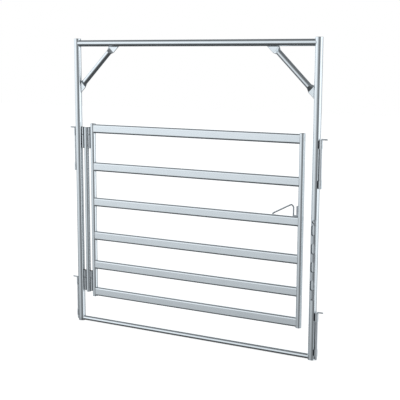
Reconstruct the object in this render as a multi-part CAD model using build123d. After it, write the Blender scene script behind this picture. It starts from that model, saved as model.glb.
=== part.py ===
from build123d import *
from math import cos, pi, radians, sin, sqrt
import os

os.makedirs("parts", exist_ok=True)

# Frame: the origin is the centre of the hinge post's flat foot.
# X runs from the hinge post to the latch post, Y points to the back, Z is up.
# All sizes are in millimetres.

# Outer frame
frame_height = 2600.0
post_spacing = 2304.0
post_od = 63.5
post_wall = 4.0
header_od = 57.15
header_wall = 3.6
header_drop = 41.6
threshold_od = 42.4
threshold_wall = 3.2
threshold_lift = 2.0
plug_thickness = 5.0
weld_gap = 0.2
cut_margin = 1.0

# Corner braces: pipe with its two ends pressed flat
brace_od = 48.3
brace_wall = 3.2
brace_reach = 416.0
brace_flat_end = 77.0
brace_press_length = 30.0
brace_flat_thickness = 6.4
blade_margin = 0.4

# Double hinge
knuckle_od = 26.0
knuckle_pin_d = 16.0
knuckle_bore_gap = 0.3
hinge_side_gap = 1.0
hinge_break = 4.0
knuckle_upper_height = 64.0
knuckle_lower_height = 122.0
knuckle_pin_end_gap = 2.0
upper_hinge_drop = 37.0
lower_hinge_lift = 232.0
rib_width = 8.0
rib_margin = 8.0

# Link post between the two hinge lines
link_od = 42.4
link_wall = 3.2
link_tail = 13.0

# Gate leaf
stile_od = 48.3
stile_wall = 3.2
leaf_bottom = 250.0
leaf_headroom = 752.0
latch_gap = 66.0
rail_height = 80.0
rail_depth = 40.0
rail_wall = 2.5
rail_corner = 16.0
top_rail_drop = 46.0
bottom_rail_lift = 46.0
# How far down each rail sits, as a share of the way from the top rail to the bottom rail
rail_shares = (0.0, 0.2286, 0.4433, 0.6503, 0.8308, 1.0)

# Sliding latch bolt on the back of the third rail
bolt_d = 20.0
bolt_stroke = 120.0
bolt_rise = 12.0
bolt_stile_gap = 10.0
bolt_past_post = 1.25
bolt_tip_bevel = 2.0
bolt_tail = 21.0
handle_rod_d = 12.0
handle_rise = 88.0
handle_low_rise = 2.0
handle_setback = 85.0
handle_crest = 19.0
handle_sink = 3.0
handle_travel_gap = 5.0
guide_bore_gap = 0.8
guide_wall = 5.0
guide_length = 40.0
guide_handle_gap = 6.0
outer_guide_gap = 15.0
keeper_strap = 5.0
keeper_width = 24.0
keeper_setback = 16.0
keeper_clearance = 3.0
keeper_bend = 6.0
bracket_thickness = 6.0
bracket_foot_thickness = 9.0
bracket_width = 16.0
bracket_height = 85.0
bracket_foot = 38.0

# Slotted channel on the front of the latch post
strip_top_rise = 33.5
strip_tail = 125.0
strip_standoff = 8.0
strip_wall = 4.0
strip_bend = 5.0
strip_half_angle = 31.0
strip_flange_angle = 5.0
strip_turn = 4.3
strip_slot_length = 86.0
strip_slot_width = 33.0
strip_slot_pitch = 150.0
strip_first_slot_drop = 54.5
strip_slot_count = 4
strip_eye_d = 22.0
strip_eye_rise = 67.0
strip_pin_hole_d = 10.0
strip_pin_hole_lift = 10.0

# Panel lugs and drop pins on the outer sides of both posts
lug_od = 26.9
lug_height = 68.0
hinge_side_lug_turn = 8.0
latch_side_lug_turn = 20.0
first_lug_drop = 117.0
second_lug_drop = 434.0
third_lug_lift = 331.0
fourth_lug_lift = 38.0
foot_lug_height = 56.0
drop_pin_d = 20.0
drop_pin_gap = 0.8
upper_pin_tip = 0.0
lower_pin_tip = 31.0
drop_pin_bevel = 3.0
drop_collar_gap = 0.2
drop_collar_height = 3.0
drop_handle_d = 12.0
drop_handle_length = 52.0
drop_handle_bend = 8.0

# Derived positions
post_r = post_od / 2
header_z = frame_height - header_drop
threshold_z = threshold_lift + threshold_od / 2
knuckle_r = knuckle_od / 2
link_r = link_od / 2
stile_r = stile_od / 2
hinge_a_x = post_r + hinge_side_gap + knuckle_r
link_x = hinge_a_x + knuckle_r + hinge_side_gap + link_r
hinge_b_x = link_x + link_r + hinge_side_gap + knuckle_r
stile_a_x = hinge_b_x + knuckle_r + hinge_side_gap + stile_r
stile_b_x = post_spacing - post_r - latch_gap - stile_r
leaf_top = frame_height - leaf_headroom
top_rail_z = leaf_top - top_rail_drop
bottom_rail_z = leaf_bottom + bottom_rail_lift
rail_levels = [top_rail_z - share * (top_rail_z - bottom_rail_z) for share in rail_shares]
latch_rail_z = rail_levels[2]
hinge_tops = {"upper": leaf_top - upper_hinge_drop, "lower": leaf_bottom + lower_hinge_lift}
rail_r = rail_depth / 2
bolt_z = latch_rail_z + bolt_rise
bolt_y = stile_r + bolt_stile_gap + bolt_d / 2


def save(shape, name, color):
    shape.label = name
    shape.color = Color(*color)
    export_step(shape, "parts/" + name + ".step")


galvanised = (0.72, 0.75, 0.78)
bright = (0.60, 0.63, 0.66)


def vertical_tube(od, wall, x, y, bottom, top):
    # round pipe standing on end
    ring = Circle(od / 2) - Circle(od / 2 - wall)
    return Pos(x, y, bottom) * extrude(ring, amount=top - bottom)


def vertical_rod(diameter, x, y, bottom, top):
    return Pos(x, y, bottom) * extrude(Circle(diameter / 2), amount=top - bottom)


def cross_tube(profile, x_start, x_end, z):
    # profile drawn in the YZ plane and pushed along X
    return extrude(Plane(origin=(x_start, 0, z), x_dir=(0, 1, 0), z_dir=(1, 0, 0)) * profile,
                   amount=x_end - x_start)


def coped(tube, x_start, od_start, x_end, od_end, bottom, top):
    # fish mouth both ends of a cross tube to the uprights it meets
    left = vertical_rod(od_start + 2 * weld_gap, x_start, 0, bottom, top)
    right = vertical_rod(od_end + 2 * weld_gap, x_end, 0, bottom, top)
    return tube - left - right


# Posts and their closing plugs
post_sides = (("hinge", 0.0), ("latch", post_spacing))
for side, x in post_sides:
    post = vertical_tube(post_od, post_wall, x, 0, 0, frame_height)
    save(post, side + "_post", galvanised)
    plug_d = post_od - 2 * post_wall - 2 * weld_gap
    save(vertical_rod(plug_d, x, 0, 0, plug_thickness), side + "_post_foot_plug", galvanised)
    top_plug = vertical_rod(plug_d, x, 0, frame_height - plug_thickness, frame_height)
    save(top_plug, side + "_post_top_plug", galvanised)

# Header and threshold pipes, coped to the posts
for name, od, wall, z in (("header_pipe", header_od, header_wall, header_z),
                          ("threshold_pipe", threshold_od, threshold_wall, threshold_z)):
    ring = Circle(od / 2) - Circle(od / 2 - wall)
    tube = cross_tube(ring, 0, post_spacing, z)
    tube = coped(tube, 0, post_od, post_spacing, post_od, z - od, z + od)
    save(tube, name, galvanised)

# Corner braces. Each runs at 45 degrees from the post's axis to the header's axis.
half = sqrt(0.5)
brace_span = brace_reach / half
brace_flat_width = pi * brace_od / 2
press_stages = ((0.0, 0.0), (0.5, 0.55), (1.0, 1.0))


def brace_plane(along):
    # plane across the brace, its X pointing away from the corner and its Y to the back
    return Plane(origin=(along * half, 0, header_z - brace_reach + along * half),
                 x_dir=(half, 0, -half), z_dir=(half, 0, half))


def pressed(step, share):
    # section of the pipe where it is pressed from round to flat
    width = brace_od / 2 + share * (brace_flat_width - brace_od) / 2
    depth = brace_od / 2 + share * (brace_flat_thickness - brace_od) / 2
    along = brace_flat_end + (1 - step) * brace_press_length
    return brace_plane(along) * Ellipse(width, depth)


def pressed_end():
    # the lower end, from the round pipe down to the flat blade, squeezed shut inside
    closed = loft([pressed(step, share) for step, share in press_stages])
    blade_face = SlotOverall(brace_flat_width + 2 * blade_margin,
                             brace_flat_thickness + 2 * blade_margin)
    blade = extrude(brace_plane(brace_flat_end) * blade_face, amount=-brace_flat_end)
    return closed + blade


round_from = brace_flat_end + brace_press_length
brace_ring = Circle(brace_od / 2) - Circle(brace_od / 2 - brace_wall)
brace = extrude(brace_plane(round_from) * brace_ring, amount=brace_span - 2 * round_from)
low_end = pressed_end()
middle = brace_plane(brace_span / 2)
brace = brace + low_end + mirror(low_end, about=middle)
brace -= vertical_rod(post_od + 2 * weld_gap, 0, 0, 0, frame_height)
brace -= cross_tube(Circle(header_od / 2 + weld_gap), -post_spacing, post_spacing, header_z)
save(brace, "hinge_side_corner_brace", galvanised)
latch_brace = mirror(brace, about=Plane(origin=(post_spacing / 2, 0, 0), z_dir=(1, 0, 0)))
save(latch_brace, "latch_side_corner_brace", galvanised)

# Weld on barrel hinges: the lower half carries a turned pin, the upper half turns on it.
# Each half has a rib that reaches the tube it is welded to.


def hinge_half(x, bottom, top, toward_x, tube_od, tube_x, pin_above):
    barrel = vertical_rod(knuckle_od, x, 0, bottom, top)
    rib_bottom = bottom + rib_margin
    rib_top = top - rib_margin
    middle = (x + toward_x) / 2
    rib = Pos(middle, 0, (rib_bottom + rib_top) / 2) * Box(
        abs(toward_x - x), rib_width, rib_top - rib_bottom)
    body = barrel + rib
    body -= vertical_rod(tube_od + 2 * weld_gap, tube_x, 0, bottom - cut_margin, top + cut_margin)
    if pin_above > 0:
        body += vertical_rod(knuckle_pin_d, x, 0, top, top + pin_above)
    else:
        body -= vertical_rod(knuckle_pin_d + 2 * knuckle_bore_gap, x, 0, bottom - cut_margin, top + cut_margin)
    return body


hinge_lines = (("outer", hinge_a_x, 0.0, post_od, link_x, link_od),
               ("inner", hinge_b_x, link_x, link_od, stile_a_x, stile_od))
for level, top in hinge_tops.items():
    break_z = top - knuckle_upper_height
    for line, x, still_x, still_od, moving_x, moving_od in hinge_lines:
        lower_half = hinge_half(x, break_z - knuckle_lower_height, break_z - hinge_break,
                                still_x, still_od, still_x,
                                hinge_break + knuckle_upper_height - knuckle_pin_end_gap)
        upper_half = hinge_half(x, break_z, top, moving_x, moving_od, moving_x, 0)
        save(lower_half, level + "_" + line + "_hinge_pin_half", bright)
        save(upper_half, level + "_" + line + "_hinge_sleeve_half", bright)

# Link post
link_bottom = hinge_tops["lower"] - knuckle_upper_height - knuckle_lower_height - link_tail
link = vertical_tube(link_od, link_wall, link_x, 0, link_bottom, hinge_tops["upper"])
save(link, "link_post", galvanised)

# Gate leaf stiles
save(vertical_tube(stile_od, stile_wall, stile_a_x, 0, leaf_bottom, leaf_top),
     "hinge_stile", galvanised)
save(vertical_tube(stile_od, stile_wall, stile_b_x, 0, leaf_bottom, leaf_top),
     "latch_stile", galvanised)

# Six flat sided oval rails, coped to both stiles
oval = RectangleRounded(rail_depth, rail_height, rail_corner) - RectangleRounded(
    rail_depth - 2 * rail_wall, rail_height - 2 * rail_wall, rail_corner - rail_wall)
for index, z in enumerate(rail_levels):
    rail = cross_tube(oval, stile_a_x, stile_b_x, z)
    rail = coped(rail, stile_a_x, stile_od, stile_b_x, stile_od, z - rail_height, z + rail_height)
    save(rail, "rail_" + str(index + 1), galvanised)

# Latch bolt: round bar with a bent rod handle welded on top. Drawn back, as in the photograph.
# The handle's two feet and the two guides are set so that the bolt can travel its whole stroke.
bolt_tip_x = post_spacing + bolt_past_post - bolt_stroke
rod_r = handle_rod_d / 2
right_foot_x = bolt_tip_x - handle_setback
inner_guide_x = right_foot_x - rod_r - guide_handle_gap - guide_length
left_foot_x = inner_guide_x - handle_travel_gap - rod_r - bolt_stroke
outer_guide_x = left_foot_x - rod_r - outer_guide_gap - guide_length
bolt_start_x = outer_guide_x - bolt_stroke - bolt_tail
bolt_plane = Plane(origin=(bolt_start_x, bolt_y, bolt_z), x_dir=(0, 1, 0), z_dir=(1, 0, 0))
bar = extrude(bolt_plane * Circle(bolt_d / 2), amount=bolt_tip_x - bolt_start_x)
bar = chamfer(bar.edges().filter_by(GeomType.CIRCLE), bolt_tip_bevel)
rail_top_z = latch_rail_z + rail_height / 2
foot_z = bolt_z + bolt_d / 2 - handle_sink
handle_path = FilletPolyline(
    (left_foot_x, bolt_y, foot_z),
    (left_foot_x, bolt_y, rail_top_z + handle_low_rise),
    (right_foot_x - handle_crest, bolt_y, rail_top_z + handle_rise),
    (right_foot_x, bolt_y, rail_top_z + handle_rise - handle_crest),
    (right_foot_x, bolt_y, foot_z),
    radius=handle_rod_d,
)
handle_start = Plane(origin=(left_foot_x, bolt_y, foot_z), x_dir=(1, 0, 0), z_dir=(0, 0, 1))
handle = sweep(handle_start * Circle(rod_r), path=handle_path)
save(bar + handle, "latch_bolt", bright)

# Two guide blocks on the back of the third rail, round nosed about the bolt line
guide_r = bolt_d / 2 + guide_bore_gap + guide_wall
guide_flat = rail_r + weld_gap
for side, x in (("inner", inner_guide_x), ("outer", outer_guide_x)):
    plane = Plane(origin=(x, 0, bolt_z), x_dir=(0, 1, 0), z_dir=(1, 0, 0))
    block = Pos((guide_flat + bolt_y) / 2, 0) * Rectangle(bolt_y - guide_flat, 2 * guide_r)
    block += Pos(bolt_y, 0) * Circle(guide_r)
    block -= Pos(bolt_y, 0) * Circle(bolt_d / 2 + guide_bore_gap)
    save(extrude(plane * block, amount=guide_length), "bolt_guide_" + side, galvanised)

# Keeper: a strap bent to a U, welded to the back of the latch post, that the bolt slides into
keeper_half = bolt_d / 2 + keeper_clearance
keeper_outer = keeper_half + keeper_strap
keeper_plane = Plane(origin=(post_spacing - keeper_setback - keeper_width / 2, 0, bolt_z),
                     x_dir=(0, 1, 0), z_dir=(1, 0, 0))
bent = Pos((bolt_y + keeper_outer) / 2, 0) * Rectangle(bolt_y + keeper_outer, 2 * keeper_outer)
bent = fillet(bent.vertices().group_by(Axis.X)[-1], keeper_bend)
bent -= Pos((bolt_y + keeper_half) / 2, 0) * Rectangle(bolt_y + keeper_half, 2 * keeper_half)
keeper = extrude(keeper_plane * bent, amount=keeper_width)
keeper -= vertical_rod(post_od + 2 * weld_gap, post_spacing, 0, bolt_z - post_od, bolt_z + post_od)
save(keeper, "bolt_keeper", galvanised)

# Angle bracket standing on the third rail against the latch stile
bracket_x = stile_b_x - stile_r - weld_gap
bracket_z = rail_top_z + weld_gap
bracket = Pos(bracket_x - bracket_foot / 2, 0, bracket_z + bracket_foot_thickness / 2) * Box(
    bracket_foot, bracket_width, bracket_foot_thickness)
bracket += Pos(bracket_x - bracket_thickness, 0, bracket_z + bracket_height / 2) * Box(
    2 * bracket_thickness, bracket_width, bracket_height)
bracket -= vertical_rod(stile_od + 2 * weld_gap, stile_b_x, 0, rail_top_z - bracket_height,
                        rail_top_z + 2 * bracket_height)
save(bracket, "stile_bracket", galvanised)

# Slotted channel: sheet bent round the front of the latch post, standing off it, closed at its ends
first_slot_z = latch_rail_z - strip_first_slot_drop
slot_levels = [first_slot_z - index * strip_slot_pitch for index in range(strip_slot_count)]
strip_top = latch_rail_z + strip_top_rise
strip_bottom = slot_levels[-1] - strip_tail
strip_inner = post_r + weld_gap + strip_standoff
strip_outer = strip_inner + strip_wall


def sector(radius, half_angle):
    # slice of the ring between the post and the radius, open to the front
    ring = Circle(radius) - Circle(post_r + weld_gap)
    side = 2 * radius * sin(radians(half_angle))
    depth = 2 * radius * cos(radians(half_angle))
    return ring & make_face(Polyline([(0, 0), (side, -depth), (-side, -depth)], close=True))


strip_face = sector(strip_outer, strip_half_angle)
corners = strip_face.vertices().sort_by_distance((0, 0, 0))[-2:]
strip_face = fillet(corners, strip_bend)
strip = Pos(0, 0, strip_bottom) * extrude(strip_face, amount=strip_top - strip_bottom)
hollow = sector(strip_inner, strip_half_angle - strip_flange_angle)
strip -= Pos(0, 0, strip_bottom + strip_wall) * extrude(
    hollow, amount=strip_top - strip_bottom - 2 * strip_wall)
front = Plane(origin=(0, 0, 0), x_dir=(1, 0, 0), z_dir=(0, -1, 0))
slot_shape = Rot(0, 0, 90) * SlotOverall(strip_slot_length, strip_slot_width)
holes = [Pos(0, z) * slot_shape for z in slot_levels]
holes.append(Pos(0, first_slot_z + strip_eye_rise) * Circle(strip_eye_d / 2))
holes.append(Pos(0, strip_bottom + strip_pin_hole_lift) * Circle(strip_pin_hole_d / 2))
for hole in holes:
    strip -= extrude(front * hole, amount=2 * strip_outer)
save(Pos(post_spacing, 0, 0) * (Rot(0, 0, strip_turn) * strip), "slotted_strip", galvanised)

# Lugs and drop pins. The latch side lugs sit to the front of the outward line,
# the hinge side lugs a little to the back of it.
lug_r = lug_od / 2
lug_reach = post_r + lug_r + weld_gap
back_turn = radians(hinge_side_lug_turn)
front_turn = radians(latch_side_lug_turn)
lug_lines = (("hinge", -lug_reach * cos(back_turn), lug_reach * sin(back_turn), 180),
             ("latch", post_spacing + lug_reach * cos(front_turn),
              -lug_reach * sin(front_turn), 0))
lug_pairs = (("upper", leaf_top - first_lug_drop, leaf_top - second_lug_drop, lug_height,
              upper_pin_tip, 1),
             ("lower", third_lug_lift, fourth_lug_lift, foot_lug_height, lower_pin_tip, 3))
lug_ring = Circle(lug_r) - Circle(drop_pin_d / 2 + drop_pin_gap)
for side, x, y, outward in lug_lines:
    for level, high_lug, low_lug, low_height, tip, number in lug_pairs:
        for offset, (bottom, height) in enumerate(((high_lug, lug_height), (low_lug, low_height))):
            lug = Pos(x, y, bottom) * extrude(lug_ring, amount=height)
            save(lug, side + "_side_lug_" + str(number + offset), galvanised)
        seat = high_lug + lug_height + drop_collar_gap
        shaft = vertical_rod(drop_pin_d, 0, 0, low_lug - tip, seat)
        shaft = chamfer(shaft.edges().sort_by(Axis.Z)[0], drop_pin_bevel)
        collar = vertical_rod(lug_od, 0, 0, seat, seat + drop_collar_height)
        grip_z = seat + drop_handle_bend
        grip_start = (0, 0, seat - drop_handle_bend)
        grip_path = FilletPolyline(grip_start, (0, 0, grip_z), (drop_handle_length, 0, grip_z),
                                   radius=drop_handle_bend)
        grip = sweep(Plane(origin=grip_start) * Circle(drop_handle_d / 2), path=grip_path)
        pin = Pos(x, y, 0) * (Rot(0, 0, outward) * (shaft + collar + grip))
        save(pin, side + "_side_" + level + "_drop_pin", bright)
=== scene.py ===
import math
import random

import bpy
from mathutils import Matrix, Vector


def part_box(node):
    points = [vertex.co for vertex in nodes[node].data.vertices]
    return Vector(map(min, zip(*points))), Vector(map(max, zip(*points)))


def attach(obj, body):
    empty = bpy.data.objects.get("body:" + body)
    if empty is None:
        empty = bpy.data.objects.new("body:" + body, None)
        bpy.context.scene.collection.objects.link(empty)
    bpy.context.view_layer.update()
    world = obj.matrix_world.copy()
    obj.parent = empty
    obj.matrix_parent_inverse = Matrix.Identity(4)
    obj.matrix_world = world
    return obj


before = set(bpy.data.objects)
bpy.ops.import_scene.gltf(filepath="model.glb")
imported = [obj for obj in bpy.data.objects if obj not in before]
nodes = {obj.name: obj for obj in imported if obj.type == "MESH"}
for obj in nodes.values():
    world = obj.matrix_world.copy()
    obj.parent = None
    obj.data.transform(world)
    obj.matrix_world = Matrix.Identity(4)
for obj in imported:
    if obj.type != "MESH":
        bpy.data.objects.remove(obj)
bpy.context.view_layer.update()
scene = bpy.context.scene
scene.view_settings.view_transform = "Standard"

# Camera, fitted to the photograph: place in metres, turns in degrees, focal length in pixels
IMAGE_WIDTH = 400
CAMERA_PLACE = (4.874, -6.613, 2.441)
CAMERA_YAW = 28.678
CAMERA_PITCH = -9.069
CAMERA_ROLL = 0.228
FOCAL_PIXELS = 894.75
SENSOR_WIDTH = 36.0
CLIP_START = 0.1
CLIP_END = 200


def add_camera():
    yaw = math.radians(CAMERA_YAW)
    pitch = math.radians(CAMERA_PITCH)
    roll = math.radians(CAMERA_ROLL)
    level = math.cos(pitch)
    forward = Vector((-math.sin(yaw) * level, math.cos(yaw) * level, math.sin(pitch)))
    level_right = Vector((math.cos(yaw), math.sin(yaw), 0))
    level_up = level_right.cross(forward)
    right = level_right * math.cos(roll) + level_up * math.sin(roll)
    up = level_up * math.cos(roll) - level_right * math.sin(roll)
    data = bpy.data.cameras.new("camera")
    data.sensor_width = SENSOR_WIDTH
    data.lens = FOCAL_PIXELS / IMAGE_WIDTH * SENSOR_WIDTH
    data.clip_start = CLIP_START
    data.clip_end = CLIP_END
    camera = bpy.data.objects.new("camera", data)
    scene.collection.objects.link(camera)
    turn = Matrix((right, up, -forward)).transposed()
    camera.matrix_world = Matrix.Translation(CAMERA_PLACE) @ turn.to_4x4()
    scene.camera = camera


class Graph:
    """Short way to write a node tree."""

    def __init__(self, tree):
        self.tree = tree
        tree.nodes.clear()

    def add(self, kind, inputs=None, **settings):
        """One node. An input that is a socket is linked, and any other one is set."""
        node = self.tree.nodes.new(kind)
        for name, value in settings.items():
            setattr(node, name, value)
        for key, value in (inputs or {}).items():
            if isinstance(value, bpy.types.NodeSocket):
                self.tree.links.new(value, node.inputs[key])
            else:
                node.inputs[key].default_value = value
        return node

    def math(self, operation, a, b=0.0, c=0.0):
        node = self.add("ShaderNodeMath", {0: a, 1: b, 2: c}, operation=operation)
        return node.outputs[0]

    def around_one(self, value, spread):
        """value from 0 to 1, brought to a factor that spreads about 1."""
        return self.math("MULTIPLY_ADD", value, spread, 1 - spread / 2)

    def fade(self, value, start, end, low=0.0, high=1.0):
        """Goes smoothly from low at start to high at end."""
        limits = {"Value": value, "From Min": start, "From Max": end, "To Min": low, "To Max": high}
        node = self.add("ShaderNodeMapRange", limits, interpolation_type="SMOOTHSTEP")
        return node.outputs["Result"]

    def noise(self, place, scale, detail):
        inputs = {"Vector": place, "Scale": scale, "Detail": detail}
        return self.add("ShaderNodeTexNoise", inputs).outputs["Fac"]

    def tint(self, colour, shade):
        """colour times the grey value shade."""
        grey = self.add("ShaderNodeCombineColor", {0: shade, 1: shade, 2: shade})
        # the mix node's colours are its inputs 6 and 7 and its output 2
        mix = self.add("ShaderNodeMix", {0: 1.0, 6: (*colour, 1)}, data_type="RGBA",
                       blend_type="MULTIPLY")
        self.tree.links.new(grey.outputs[0], mix.inputs[7])
        return mix.outputs[2]


# The studio that the metal reflects, as light levels where 1 is white. Turns are in degrees from the
# camera, to its right positive, and heights in degrees over level. BASE_LIGHT gives height and light.
# A wall fades in over the first two of its turns and heights and out over the last two. Below level
# it leans, by its lean in degrees of turn for each degree of height.
CAMERA_AZIMUTH = 28.7
BASE_LIGHT = ((-90, 0.055), (-50, 0.075), (-25, 0.13), (0, 0.24), (30, 0.20), (60, 0.16),
              (90, 0.16))
WALLS = (
    {"light": 0.95, "turns": (-130, -88, -72, -4), "heights": (-35, 10, 14, 60), "lean": 0.9},
    {"light": 0.42, "turns": (-178, -140, -110, -85), "heights": (-22, 5, 10, 30), "lean": 0},
    {"light": 1.02, "turns": (27, 47, 78, 146), "heights": (-50, 4, 15, 50), "lean": 0},
)
BACK_WALL = {"light": 0.72, "turns": (146, 166, 205, 226), "heights": (-40, -5, 12, 45), "lean": 0}
STUDIO_TINT = (0.962, 1.0, 1.032)


def add_studio():
    """A white backdrop for the camera. The metal sees bright walls with dim space between instead."""
    world = bpy.data.worlds.new("studio")
    scene.world = world
    world.use_nodes = True
    g = Graph(world.node_tree)
    way = g.add("ShaderNodeTexCoord").outputs["Generated"]
    parts = g.add("ShaderNodeSeparateXYZ", {"Vector": way}).outputs
    height = g.math("DEGREES", g.math("ARCSINE", parts["Z"]))
    azimuth = g.math("DEGREES", g.math("ARCTAN2", parts["X"], g.math("MULTIPLY", parts["Y"], -1.0)))
    below = g.math("MINIMUM", height, 0.0)

    def band(value, edges):
        fade_in = g.fade(value, edges[0], edges[1])
        fade_out = g.fade(value, edges[3], edges[2])
        return g.math("MULTIPLY", fade_in, fade_out)

    base = g.add("ShaderNodeValToRGB", {"Fac": g.math("MULTIPLY_ADD", height, 1 / 180, 0.5)})
    elements = base.color_ramp.elements
    while len(elements) < len(BASE_LIGHT):
        elements.new(0.5)
    for element, (angle, light) in zip(elements, BASE_LIGHT):
        element.position = (angle + 90) / 180
        element.color = (light, light, light, 1)
    total = base.outputs["Color"]
    # turns are counted from -180 for the walls, and from 0 for the one that lies across 180
    for wall, lowest in [(wall, -180.0) for wall in WALLS] + [(BACK_WALL, 0.0)]:
        lean = g.math("MULTIPLY_ADD", below, wall["lean"], -CAMERA_AZIMUTH)
        turn = g.math("WRAP", g.math("ADD", azimuth, lean), lowest + 360, lowest)
        panel = g.math("MULTIPLY", band(turn, wall["turns"]), band(height, wall["heights"]))
        total = g.math("MULTIPLY_ADD", panel, wall["light"], total)
    lit = g.add("ShaderNodeBackground", {"Color": g.tint(STUDIO_TINT, total), "Strength": 1.0})
    white = g.add("ShaderNodeBackground", {"Color": (1, 1, 1, 1), "Strength": 1.0})
    rays = g.add("ShaderNodeLightPath").outputs
    seen = g.math("MAXIMUM", rays["Is Camera Ray"], rays["Is Transmission Ray"])
    mix = g.add("ShaderNodeMixShader", {0: seen, 1: lit.outputs[0], 2: white.outputs[0]})
    g.add("ShaderNodeOutputWorld", {"Surface": mix.outputs[0]})


FLOOR_HALF = 30.0
FLOOR_CENTRE_X = 1.15
FLOOR_DROP = 0.0015
PAPER_GLOW = 0.8
PAPER_GREY = 0.9


def add_floor():
    """White paper, seen by the camera with the object's shadow. The metal sees the studio instead."""
    low, high = -FLOOR_HALF, FLOOR_HALF
    mesh = bpy.data.meshes.new("floor")
    mesh.from_pydata([(low, low, 0), (high, low, 0), (high, high, 0), (low, high, 0)],
                     [], [(0, 1, 2, 3)])
    floor = bpy.data.objects.new("floor", mesh)
    floor.location = (FLOOR_CENTRE_X, 0, -FLOOR_DROP)
    scene.collection.objects.link(floor)
    material = bpy.data.materials.new("floor_paper")
    material.use_nodes = True
    g = Graph(material.node_tree)
    glow = g.add("ShaderNodeEmission", {"Color": (1, 1, 1, 1), "Strength": PAPER_GLOW})
    paper = g.add("ShaderNodeBsdfDiffuse", {"Color": (PAPER_GREY, PAPER_GREY, PAPER_GREY, 1)})
    bright = g.add("ShaderNodeAddShader", {0: glow.outputs[0], 1: paper.outputs[0]})
    clear = g.add("ShaderNodeBsdfTransparent")
    camera_ray = g.add("ShaderNodeLightPath").outputs["Is Camera Ray"]
    mix = g.add("ShaderNodeMixShader", {0: camera_ray, 1: clear.outputs[0], 2: bright.outputs[0]})
    g.add("ShaderNodeOutputMaterial", {"Surface": mix.outputs[0]})
    mesh.materials.append(material)


# Patterns of the steel: cells or waves for each metre, and how far each sways the tone
SPANGLE_SCALE = 90.0
CLOUD_SCALE = 9.0
LINE_SCALE = 160.0
SKIN_SCALE = 60.0
SKIN_DEPTH = 0.0005
CLOUD_SPREAD = 0.08
LINE_SPREAD = 0.08
ROUGHNESS_SPREAD = 0.04
# roughness added where the painted shade is deepest, the occlusion at which that painted shade is
# full, and the occlusion node's samples
CREVICE_ROUGHNESS = 0.25
FULL_PAINTED_SHADE_AT = 0.1
OPENNESS_SAMPLES = 24

# grain: how much the drawn lines are squeezed along each axis, so that they run along the piece
EVEN = (1, 1, 1)
ALONG_X = (0.02, 1, 1)
ALONG_Z = (1, 1, 0.02)


def steel(name, colour, roughness, grain=EVEN, reach=0.012, unshaded_at=0.55, crevice=0.12,
          spangle=0.02, ripple=0.012):
    """Galvanised steel: zinc spangle, clouds, drawn lines, and painted shade in its crevices, where
    it is rougher too.

    roughness is that of the metal in open places. reach is how far from a crevice its painted
    shade spreads, in metres, unshaded_at how open a place must be to have none, and crevice how much
    of the colour is left in the deepest places. spangle is the spread of tone between the zinc's
    crystals, and ripple the strength of the uneven skin."""
    material = bpy.data.materials.new(name)
    material.use_nodes = True
    g = Graph(material.node_tree)
    place = g.add("ShaderNodeTexCoord").outputs["Object"]
    along = g.add("ShaderNodeVectorMath", {0: place, 1: grain}, operation="MULTIPLY").outputs[0]
    cells = g.add("ShaderNodeTexVoronoi", {"Vector": place, "Scale": SPANGLE_SCALE})
    tone = g.add("ShaderNodeSeparateColor", {0: cells.outputs["Color"]}).outputs[0]
    cloud = g.noise(place, CLOUD_SCALE, 4.0)
    lines = g.noise(along, LINE_SCALE, 2.0)
    shade = g.around_one(tone, spangle)
    shade = g.math("MULTIPLY", shade, g.around_one(cloud, CLOUD_SPREAD))
    shade = g.math("MULTIPLY", shade, g.around_one(lines, LINE_SPREAD))
    occlusion = g.add("ShaderNodeAmbientOcclusion", {"Distance": reach}, samples=OPENNESS_SAMPLES)
    # painted shade: the colour darkens where the occlusion node finds the metal enclosed, in crevices
    # and beside other parts, and the metal is rougher there
    painted_shade = g.fade(occlusion.outputs["AO"], FULL_PAINTED_SHADE_AT, unshaded_at, crevice, 1.0)
    rough = g.math("MULTIPLY_ADD", tone, ROUGHNESS_SPREAD, roughness - ROUGHNESS_SPREAD / 2)
    rough = g.math("ADD", rough, g.math("MULTIPLY_ADD", painted_shade, -CREVICE_ROUGHNESS, CREVICE_ROUGHNESS))
    skin = g.noise(place, SKIN_SCALE, 3.0)
    bump = g.add("ShaderNodeBump", {"Strength": ripple, "Distance": SKIN_DEPTH, "Height": skin})
    tinted = g.tint(colour, g.math("MULTIPLY", shade, painted_shade))
    shader = g.add("ShaderNodeBsdfPrincipled", {"Base Color": tinted, "Metallic": 1.0,
                                                "Roughness": rough, "Normal": bump.outputs[0]})
    g.add("ShaderNodeOutputMaterial", {"Surface": shader.outputs[0]})
    return material


def dress(material, names):
    for name in names:
        slots = nodes[name].data.materials
        slots.clear()
        slots.append(material)


def names_with(*words):
    return [name for name in sorted(nodes) if any(word in name for word in words)]


# Weld beads: tubes with a rippled surface, half sunk in the seams. Lengths are in metres.
BEAD_SIDES = 8
RIPPLE_PITCH = 0.005
RIPPLES_SAMPLED = 4
RIPPLE_DEPTH = 0.10
BEAD_JITTER = 0.05
BEAD_END_TAPER = 0.45
dice = random.Random(4)


def resampled(points, closed):
    """The path's points again, evenly spaced at a part of the ripple pitch."""
    path = points + points[:1] if closed else points
    lengths = [(b - a).length for a, b in zip(path, path[1:])]
    total = sum(lengths)
    count = max(4, round(total / RIPPLE_PITCH) * RIPPLES_SAMPLED)
    even = []
    index = 0
    passed = 0.0
    for step in range(count if closed else count + 1):
        target = total * step / count
        while index < len(lengths) - 1 and passed + lengths[index] < target:
            passed += lengths[index]
            index += 1
        share = (target - passed) / lengths[index] if lengths[index] else 0.0
        even.append(path[index].lerp(path[index + 1], min(1.0, share)))
    return even


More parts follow.
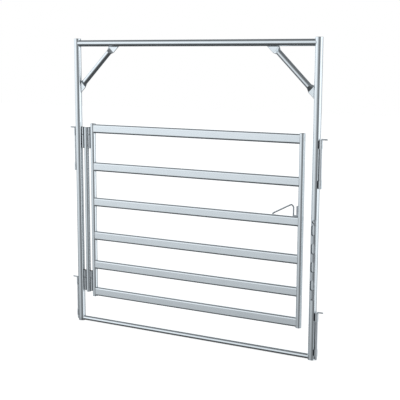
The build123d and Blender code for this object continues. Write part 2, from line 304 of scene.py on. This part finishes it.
def bead(vertices, faces, points, radius, inner, closed):
    """Adds one bead along the points. inner(point) lies on the inner side of the bead."""
    path = resampled(points, closed)
    count = len(path)
    first = len(vertices)
    for i, point in enumerate(path):
        before = path[i - 1] if closed or i > 0 else point
        after = path[(i + 1) % count] if closed or i < count - 1 else point
        tangent = (after - before).normalized()
        out = point - inner(point)
        out = (out - tangent * out.dot(tangent)).normalized()
        side = tangent.cross(out)
        phase = 2 * math.pi * ((i % RIPPLES_SAMPLED) / RIPPLES_SAMPLED)
        jitter = dice.uniform(-BEAD_JITTER, BEAD_JITTER)
        swell = 1 + RIPPLE_DEPTH * math.cos(phase) + jitter
        taper = BEAD_END_TAPER if not closed and i in (0, count - 1) else 1.0
        for k in range(BEAD_SIDES):
            turn = 2 * math.pi * k / BEAD_SIDES
            spoke = out * math.cos(turn) + side * math.sin(turn)
            vertices.append(point + spoke * radius * swell * taper)
    rings = count if closed else count - 1
    for i in range(rings):
        here = first + i * BEAD_SIDES
        there = first + (i + 1) % count * BEAD_SIDES
        for k in range(BEAD_SIDES):
            next_k = (k + 1) % BEAD_SIDES
            faces.append((here + k, here + next_k, there + next_k, there + k))
    if not closed:
        last = first + (count - 1) * BEAD_SIDES
        faces.append(tuple(range(first + BEAD_SIDES - 1, first - 1, -1)))
        faces.append(tuple(range(last, last + BEAD_SIDES)))


def weld(name, body, beads, material):
    """One piece from several beads, each given as (points, radius, inner, closed)."""
    vertices = []
    faces = []
    for points, radius, inner, closed in beads:
        bead(vertices, faces, points, radius, inner, closed)
    mesh = bpy.data.meshes.new(name)
    mesh.from_pydata([tuple(v) for v in vertices], [], faces)
    mesh.shade_smooth()
    mesh.materials.append(material)
    piece = bpy.data.objects.new(name, mesh)
    scene.collection.objects.link(piece)
    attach(piece, body)


def in_upright(x, y):
    """Inner side of a bead on an upright tube, whose axis is at x and y."""
    return lambda point: Vector((x, y, point.z))


def in_level(y, z):
    """Inner side of a bead on a level tube along X, whose axis is at y and z."""
    return lambda point: Vector((point.x, y, z))


def in_plane(point):
    """Inner side of a bead on a sheet that stands in the plane Y = 0."""
    return Vector((point.x, 0, point.z))


def upright(name):
    """Axis X, axis Y and radius of an upright tube node."""
    low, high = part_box(name)
    return (low.x + high.x) / 2, (low.y + high.y) / 2, (high.x - low.x) / 2


def circle(x, y, z, radius, count):
    turns = [2 * math.pi * i / count for i in range(count)]
    return [Vector((x + radius * math.cos(t), y + radius * math.sin(t), z)) for t in turns]


SEAM_POINTS = 72
# how far a groove's bead stands off each tube, as a share of its radius
GROOVE_STAND = 0.55


def cope_seam(tube, post, at_start, corner):
    """Points and inner side of the closed seam where a level tube meets an upright.

    corner is the radius of the tube section's corners, at_start says that the upright is at its
    low X end."""
    low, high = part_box(tube)
    post_x, _, post_r = upright(post)
    flat_y = (high.y - low.y) / 2 - corner
    flat_z = (high.z - low.z) / 2 - corner
    z_middle = (low.z + high.z) / 2
    points = []
    for i in range(SEAM_POINTS):
        turn = 2 * math.pi * (i + 0.5) / SEAM_POINTS
        y = corner * math.cos(turn) + math.copysign(flat_y, math.cos(turn))
        z = corner * math.sin(turn) + math.copysign(flat_z, math.sin(turn))
        reach = math.sqrt(post_r ** 2 - y ** 2)
        points.append(Vector((post_x + (reach if at_start else -reach), y, z_middle + z)))
    return points, in_level(0, z_middle)


def tube_weld(tube, start_post, end_post, corner, body, radius):
    beads = []
    for post, at_start in ((start_post, True), (end_post, False)):
        points, inner = cope_seam(tube, post, at_start, corner)
        beads.append((points, radius, inner, True))
    weld(tube + "_welds", body, beads, weld_steel)


def groove_weld(name, post, small, z_low, z_high, body, radius):
    """Two upright beads in the grooves between an upright tube and a smaller one beside it.

    small is (x, y, radius) of the smaller one."""
    post_x, post_y, post_r = upright(post)
    x, y, small_r = small
    toward = Vector((x - post_x, y - post_y, 0))
    spacing = toward.length
    toward.normalize()
    across = Vector((-toward.y, toward.x, 0))
    from_post = post_r + radius * GROOVE_STAND
    from_small = small_r + radius * GROOVE_STAND
    along = (spacing ** 2 + from_post ** 2 - from_small ** 2) / (2 * spacing)
    off = math.sqrt(max(from_post ** 2 - along ** 2, (radius / 2) ** 2))
    foot = Vector((post_x, post_y, 0)) + toward * along
    beads = []
    for side in (-1, 1):
        place = foot + across * off * side
        points = [Vector((place.x, place.y, z_low)), Vector((place.x, place.y, z_high))]
        beads.append((points, radius, in_upright(foot.x, foot.y), False))
    # the beads are black: painted shade in the grooves between the two tubes
    weld(name, body, beads, groove_shade_steel)


add_camera()
add_studio()
add_floor()

# Steels, with their colours in the order red, green, blue
ZINC = (0.83, 0.88, 0.91)
DULL_ZINC = (0.80, 0.84, 0.87)
PIN_ZINC = (0.74, 0.78, 0.81)
BEAD_ZINC = (0.66, 0.69, 0.71)
STRIP_ZINC = (0.62, 0.66, 0.69)
ROD_ZINC = (0.42, 0.45, 0.48)
# black that paints the shade in the grooves beside lugs and hinge barrels
GROOVE_SHADE_BLACK = (0.045, 0.05, 0.06)
EDGE_SHADE_BLACK = (0.03, 0.032, 0.035)
# Each steel is darkened beside other parts and in its crevices as painted shade, spreading as far as
# its reach
upright_steel = steel("galvanised_upright", ZINC, 0.12, ALONG_Z, reach=0.011, unshaded_at=0.50,
                      crevice=0.04)
# on the hinge side the painted shade spreads much further, round the hinges and lugs
hinge_side_steel = steel("galvanised_hinge_side", ZINC, 0.12, ALONG_Z, reach=0.060, unshaded_at=0.95,
                         crevice=0.05)
level_steel = steel("galvanised_level", ZINC, 0.14, ALONG_X)
brace_steel = steel("galvanised_brace", ZINC, 0.17)
# the strip's slot walls and the faces next to the post get near-black painted shade
strip_steel = steel("galvanised_strip", STRIP_ZINC, 0.22, ALONG_Z, reach=0.014, unshaded_at=0.7,
                    crevice=0.01)
forged_steel = steel("dull_forged_steel", DULL_ZINC, 0.14, reach=0.020, unshaded_at=0.90, crevice=0.02,
                     spangle=0.03)
rod_steel = steel("dark_rod_steel", ROD_ZINC, 0.30, reach=0.020, unshaded_at=0.80, crevice=0.02,
                  spangle=0.03)
pin_steel = steel("dull_pin_steel", PIN_ZINC, 0.30, reach=0.020, unshaded_at=0.80, crevice=0.02,
                  spangle=0.03)
lug_steel = steel("dull_lug_steel", ZINC, 0.34, reach=0.020, unshaded_at=0.70, crevice=0.02,
                  spangle=0.05, ripple=0.03)
weld_steel = steel("weld_bead_steel", BEAD_ZINC, 0.38, reach=0.016, unshaded_at=0.80, crevice=0.05,
                   spangle=0.10, ripple=0.08)
# black beads in the grooves beside lugs and hinge barrels, as painted shade
groove_shade_steel = steel("black_groove_shade_weld", GROOVE_SHADE_BLACK, 0.45, reach=0.016, unshaded_at=0.90, crevice=0.05,
                     spangle=0.10, ripple=0.08)
# black rings at the hinge barrels' edges, as painted shade and painted reflection
edge_shade_steel = steel("black_painted_edge_shade", EDGE_SHADE_BLACK, 0.50, reach=0.004, unshaded_at=0.80, crevice=0.40)

dress(upright_steel, ["latch_post", "latch_stile"])
dress(hinge_side_steel, ["hinge_post", "link_post", "hinge_stile"])
dress(rod_steel, names_with("latch_bolt", "bolt_guide", "bracket"))
dress(level_steel, names_with("rail", "pipe"))
dress(brace_steel, names_with("brace"))
dress(strip_steel, ["slotted_strip"])
dress(forged_steel, names_with("hinge_pin_half", "hinge_sleeve_half", "bolt_keeper"))
dress(lug_steel, names_with("_lug_", "_plug"))
dress(pin_steel, names_with("drop_pin"))

# Rails, header and threshold
RAIL_CORNER = 0.016
RAIL_BEAD = 0.0022
PIPE_BEADS = {"header_pipe": 0.0028, "threshold_pipe": 0.0017}
for number in range(1, 7):
    tube_weld(f"rail_{number}", "hinge_stile", "latch_stile", RAIL_CORNER, "leaf", RAIL_BEAD)
for tube, radius in PIPE_BEADS.items():
    low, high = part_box(tube)
    tube_weld(tube, "hinge_post", "latch_post", (high.z - low.z) / 2, "outer_frame", radius)

# Lugs
LUG_BEAD = 0.0056
BEAD_END_GAP = 0.003
for side in ("hinge", "latch"):
    for number in range(1, 5):
        lug = f"{side}_side_lug_{number}"
        low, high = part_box(lug)
        groove_weld(lug + "_welds", side + "_post", upright(lug), low.z + BEAD_END_GAP,
                    high.z - BEAD_END_GAP, "outer_frame", LUG_BEAD)

# Hinge halves. Each line has the tube that carries the pin half and its body, then the same for
# the sleeve half.
HINGE_BEAD = 0.0040
HINGE_BREAK = 0.004
RIB_MARGIN = 0.008
HINGE_LINES = {
    "outer": (("hinge_post", "outer_frame"), ("link_post", "link")),
    "inner": (("link_post", "link"), ("hinge_stile", "leaf")),
}


def hinge_measures(level, line):
    """Heights of the sleeve's foot and top and the pin half's foot, axis X and barrel radius."""
    sleeve_low, sleeve_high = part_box(f"{level}_{line}_hinge_sleeve_half")
    pin_low, pin_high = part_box(f"{level}_{line}_hinge_pin_half")
    barrel_r = (sleeve_high.y - sleeve_low.y) / 2
    # both halves share one axis, and the pin half's box ends at the barrel on the sleeve's side
    return sleeve_low.z, sleeve_high.z, pin_low.z, pin_high.x - barrel_r, barrel_r


for level in ("upper", "lower"):
    for line, (pin_side, sleeve_side) in HINGE_LINES.items():
        sleeve_foot, top, foot, axis_x, barrel_r = hinge_measures(level, line)
        for part, (tube, body), z_low, z_high in (
                ("pin", pin_side, foot, sleeve_foot - HINGE_BREAK),
                ("sleeve", sleeve_side, sleeve_foot, top)):
            groove_weld(f"{level}_{line}_{part}_welds", tube, (axis_x, 0.0, barrel_r),
                        z_low + RIB_MARGIN, z_high - RIB_MARGIN, body, HINGE_BEAD)

# Black rings on each barrel hinge paint shade and dark reflection at its edges: on the sleeve's top,
# in the break and under the pin half
EDGE_SHADE_RING = 0.0020
BREAK_RING = 0.0016
EDGE_SHADE_LIFT = 0.0008
RING_POINTS = 24


def edge_shade_ring(axis_x, z, barrel_r, radius):
    """One ring, as a bead for weld, that ends flush with the barrel's side."""
    points = circle(axis_x, 0, z, barrel_r - radius, RING_POINTS)
    return points, radius, in_upright(axis_x, 0), True


for level in ("upper", "lower"):
    for line, ((_, pin_body), (_, sleeve_body)) in HINGE_LINES.items():
        sleeve_foot, top, foot, axis_x, barrel_r = hinge_measures(level, line)
        on_top = edge_shade_ring(axis_x, top + EDGE_SHADE_LIFT, barrel_r, EDGE_SHADE_RING)
        in_break = edge_shade_ring(axis_x, sleeve_foot - HINGE_BREAK / 2, barrel_r, BREAK_RING)
        underneath = edge_shade_ring(axis_x, foot - EDGE_SHADE_LIFT, barrel_r, EDGE_SHADE_RING)
        weld(f"{level}_{line}_sleeve_edge_shade", sleeve_body, [on_top], edge_shade_steel)
        weld(f"{level}_{line}_pin_edge_shade", pin_body, [in_break, underneath], edge_shade_steel)

# Brace ends: a bead on each face of the pressed blade, on the post and on the header
BLADE_WIDTH = 0.0767
BLADE_HALF_THICKNESS = 0.0036
BRACE_BEAD = 0.0026
seam_ends = (BEAD_END_GAP, BLADE_WIDTH * math.sqrt(2) - BEAD_END_GAP)
header_low, header_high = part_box("header_pipe")
header_r = (header_high.z - header_low.z) / 2
header_z = (header_low.z + header_high.z) / 2
for side, inward in (("hinge", 1), ("latch", -1)):
    post_x, _, post_r = upright(side + "_post")
    low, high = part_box(side + "_side_corner_brace")
    beside = math.sqrt((post_r + BRACE_BEAD / 2) ** 2 - BLADE_HALF_THICKNESS ** 2)
    under = math.sqrt((header_r + BRACE_BEAD / 2) ** 2 - BLADE_HALF_THICKNESS ** 2)
    far = high.x if side == "hinge" else low.x
    beads = []
    for face in (-1, 1):
        y = face * (BLADE_HALF_THICKNESS + BRACE_BEAD / 3)
        on_post = [Vector((post_x + inward * beside, y, low.z + t)) for t in seam_ends]
        on_header = [Vector((far - inward * t, y, header_z - under)) for t in seam_ends]
        beads.append((on_post, BRACE_BEAD, in_plane, False))
        beads.append((on_header, BRACE_BEAD, in_plane, False))
    weld(side + "_side_corner_brace_welds", "outer_frame", beads, weld_steel)

# Bolt guides on the third rail
LATCH_BEAD = 0.0022
rail_low, rail_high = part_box("rail_3")
rail_flat_y = (rail_high.y - rail_low.y) / 2 - RAIL_CORNER
rail_shoulder = rail_high.z - RAIL_CORNER
for name in ("bolt_guide_inner", "bolt_guide_outer"):
    low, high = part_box(name)
    beads = []
    for z in (low.z, high.z):
        rise = max(0.0, z - rail_shoulder)
        y = rail_flat_y + math.sqrt(RAIL_CORNER ** 2 - rise ** 2)
        points = [Vector((low.x + BEAD_END_GAP, y, z)), Vector((high.x - BEAD_END_GAP, y, z))]
        beads.append((points, LATCH_BEAD, in_level(0, rail_shoulder), False))
    weld(name + "_welds", "leaf", beads, weld_steel)

# Keeper on the back of the latch post
KEEPER_STEPS = 8
low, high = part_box("bolt_keeper")
post_x, _, post_r = upright("latch_post")
run = high.x - low.x - 2 * BEAD_END_GAP
beads = []
for z in (low.z, high.z):
    points = []
    for step in range(KEEPER_STEPS + 1):
        x = low.x + BEAD_END_GAP + run * step / KEEPER_STEPS
        points.append(Vector((x, math.sqrt(post_r ** 2 - (x - post_x) ** 2), z)))
    beads.append((points, LATCH_BEAD, in_upright(post_x, 0), False))
weld("bolt_keeper_welds", "outer_frame", beads, weld_steel)

# Bracket against the latch stile and on the rail
low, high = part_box("stile_bracket")
stile_x, _, stile_r = upright("latch_stile")
half_width = (high.y - low.y) / 2
beads = []
for side in (-1, 1):
    y = side * half_width
    x = stile_x - math.sqrt(stile_r ** 2 - y ** 2)
    points = [Vector((x, y, low.z + BEAD_END_GAP)), Vector((x, y, high.z - BEAD_END_GAP))]
    beads.append((points, LATCH_BEAD, in_upright(stile_x, 0), False))
    z = rail_shoulder + math.sqrt(RAIL_CORNER ** 2 - max(0.0, abs(y) - rail_flat_y) ** 2)
    points = [Vector((low.x + BEAD_END_GAP, y, z)), Vector((high.x - 2 * BEAD_END_GAP, y, z))]
    beads.append((points, LATCH_BEAD, in_level(0, rail_shoulder), False))
weld("stile_bracket_welds", "leaf", beads, weld_steel)

# Stitches down both edges of the slotted strip. Angles go round the post, from its front.
STRIP_TURN = math.radians(4.3)
STRIP_HALF_ANGLE = math.radians(31)
STITCH_OUTSIDE = 0.03
STITCH_COUNT = 6
STITCH_LENGTH = 0.04
low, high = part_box("slotted_strip")
post_x, _, post_r = upright("latch_post")
run = high.z - low.z - STITCH_LENGTH - 2 * BEAD_END_GAP
beads = []
for side in (-1, 1):
    angle = STRIP_TURN + side * (STRIP_HALF_ANGLE + STITCH_OUTSIDE)
    x = post_x + (post_r + RAIL_BEAD / 2) * math.sin(angle)
    y = -(post_r + RAIL_BEAD / 2) * math.cos(angle)
    for stitch in range(STITCH_COUNT):
        z = low.z + BEAD_END_GAP + run * stitch / (STITCH_COUNT - 1)
        points = [Vector((x, y, z)), Vector((x, y, z + STITCH_LENGTH))]
        beads.append((points, RAIL_BEAD, in_upright(post_x, 0), False))
weld("slotted_strip_welds", "outer_frame", beads, weld_steel)

# Ring welds round the plugs that close the posts' tops
CAP_BEAD = 0.0015
for side in ("hinge", "latch"):
    plug = side + "_post_top_plug"
    plug_x, plug_y, plug_r = upright(plug)
    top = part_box(plug)[1].z
    ring = circle(plug_x, plug_y, top, plug_r, SEAM_POINTS)
    weld(side + "_post_top_weld", "outer_frame",
         [(ring, CAP_BEAD, in_upright(plug_x, plug_y), True)], weld_steel)
